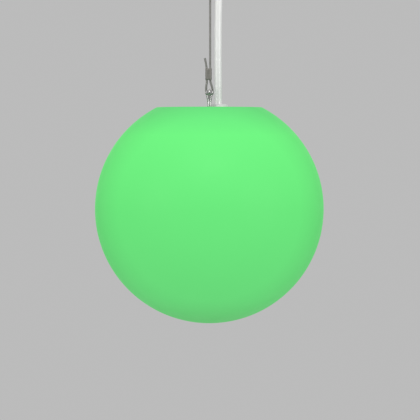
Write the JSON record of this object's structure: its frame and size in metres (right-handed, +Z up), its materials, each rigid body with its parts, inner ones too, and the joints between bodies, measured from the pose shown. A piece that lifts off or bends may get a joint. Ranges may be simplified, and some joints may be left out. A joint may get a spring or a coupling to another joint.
{
  "type": "hanging garden globe light",
  "caption": "Hanging garden globe light: a flat-topped ball that glows green, on a wire rope with shackles, with a white supply cable beside it and a ceiling cup above.",
  "frame": {"origin": "middle of the ceiling face, between the two mounting screws, on the line that the rope hangs along", "axes": "+Z up out of the ceiling face, the rope's loops lie in the XZ plane, and the cable hangs on the +Y side"},
  "size_m": [0.2499, 0.25, 0.4921],
  "materials": {
    "globe_plastic": "smooth translucent moulded plastic, lit green from inside",
    "cap_plastic": "white moulded plastic",
    "gasket_rubber": "soft black rubber",
    "polished_steel": "polished stainless steel",
    "plain_steel": "plain stainless steel",
    "rope_steel": "stranded steel wire",
    "ferrule_metal": "pressed aluminium",
    "cable_white": "glossy white sheath",
    "gland_white": "white moulded plastic",
    "canopy_white": "white powder coat",
    "plate_zinc": "zinc plated sheet",
    "brass": "turned brass",
    "terminal_plastic": "off-white moulded plastic",
    "core_brown": "brown insulation",
    "core_blue": "blue insulation",
    "core_earth": "green and yellow insulation",
    "ceramic_white": "glazed white ceramic",
    "bulb_black": "black glass",
    "bulb_cap_metal": "nickel plated",
    "bulb_plastic": "white plastic",
    "board_white": "white board",
    "board_green": "green circuit board",
    "led_green": "lit green",
    "diffuser_opal": "opal plastic"
  },
  "bodies": {
    "ceiling_fitting": {"ceiling_plate": "plate_zinc", "canopy": "canopy_white", "plate_boss": "plain_steel", "ceiling_eye_bolt": "polished_steel", "canopy_terminal_block": "terminal_plastic", "canopy_terminal_screws": "brass", "canopy_block_screws": "plain_steel", "upper_gland_body": "gland_white", "upper_gland_seal": "gasket_rubber", "upper_gland_dome_nut": "gland_white", "upper_gland_locknut": "gland_white", "cable_end_in_canopy": "cable_white", "canopy_live_core": "core_brown", "canopy_neutral_core": "core_blue", "canopy_earth_core": "core_earth"},
    "upper_shackle_set": {"upper_shackle": "polished_steel", "upper_shackle_pin": "polished_steel"},
    "rope_set": {"wire_rope": "rope_steel", "upper_ferrule": "ferrule_metal", "lower_ferrule": "ferrule_metal", "supply_cable": "cable_white"},
    "lower_shackle_set": {"lower_shackle": "polished_steel", "lower_shackle_pin": "polished_steel"},
    "globe_set": {"globe_shell": "globe_plastic", "rim_inserts": "brass", "cap_gasket": "gasket_rubber", "cap_plate": "cap_plastic", "cap_screws": "plain_steel", "cap_eye_bolt": "polished_steel", "cap_eye_washer": "plain_steel", "cap_spring_washer": "plain_steel", "cap_eye_nut": "plain_steel", "cable_end_in_globe": "cable_white", "lamp_bracket": "plate_zinc", "lampholder_body": "ceramic_white", "lampholder_shell": "brass", "lampholder_contact": "brass", "lampholder_screws": "plain_steel", "lampholder_live_lead": "core_brown", "lampholder_neutral_lead": "core_blue", "bulb_tip": "bulb_cap_metal", "bulb_insulator": "bulb_black", "bulb_screw_cap": "bulb_cap_metal", "bulb_housing": "bulb_plastic", "bulb_led_board": "board_white", "bulb_leds": "led_green", "bulb_driver_board": "board_green", "bulb_diffuser": "diffuser_opal", "lower_gland_body": "gland_white", "lower_gland_dome_nut": "gland_white", "lower_gland_locknut": "gland_white", "lower_gland_seal": "gasket_rubber", "globe_terminal_block": "terminal_plastic", "globe_terminal_screws": "brass", "globe_block_screws": "plain_steel", "globe_live_core": "core_brown", "globe_neutral_core": "core_blue", "globe_earth_core": "core_earth"}
  },
  "joints": [
    {"name": "upper_shackle_tilt", "type": "hinge", "parent": "ceiling_fitting", "child": "upper_shackle_set", "pos_m": [0, 0, -0.0405], "axis": [1, 0, 0], "range_deg": [-20, 20], "deforming": ["supply_cable"]},
    {"name": "rope_top_pivot", "type": "hinge", "parent": "upper_shackle_set", "child": "rope_set", "pos_m": [0, 0, -0.0592], "axis": [0, 1, 0], "range_deg": [-20, 20], "deforming": ["supply_cable"]},
    {"name": "rope_bottom_pivot", "type": "hinge", "parent": "rope_set", "child": "lower_shackle_set", "pos_m": [0, 0, -0.2398], "axis": [0, 1, 0], "range_deg": [-20, 20], "deforming": ["supply_cable"]},
    {"name": "globe_tilt", "type": "hinge", "parent": "lower_shackle_set", "child": "globe_set", "pos_m": [0, 0, -0.2585], "axis": [1, 0, 0], "range_deg": [-20, 20], "deforming": ["supply_cable"]}
  ]
}
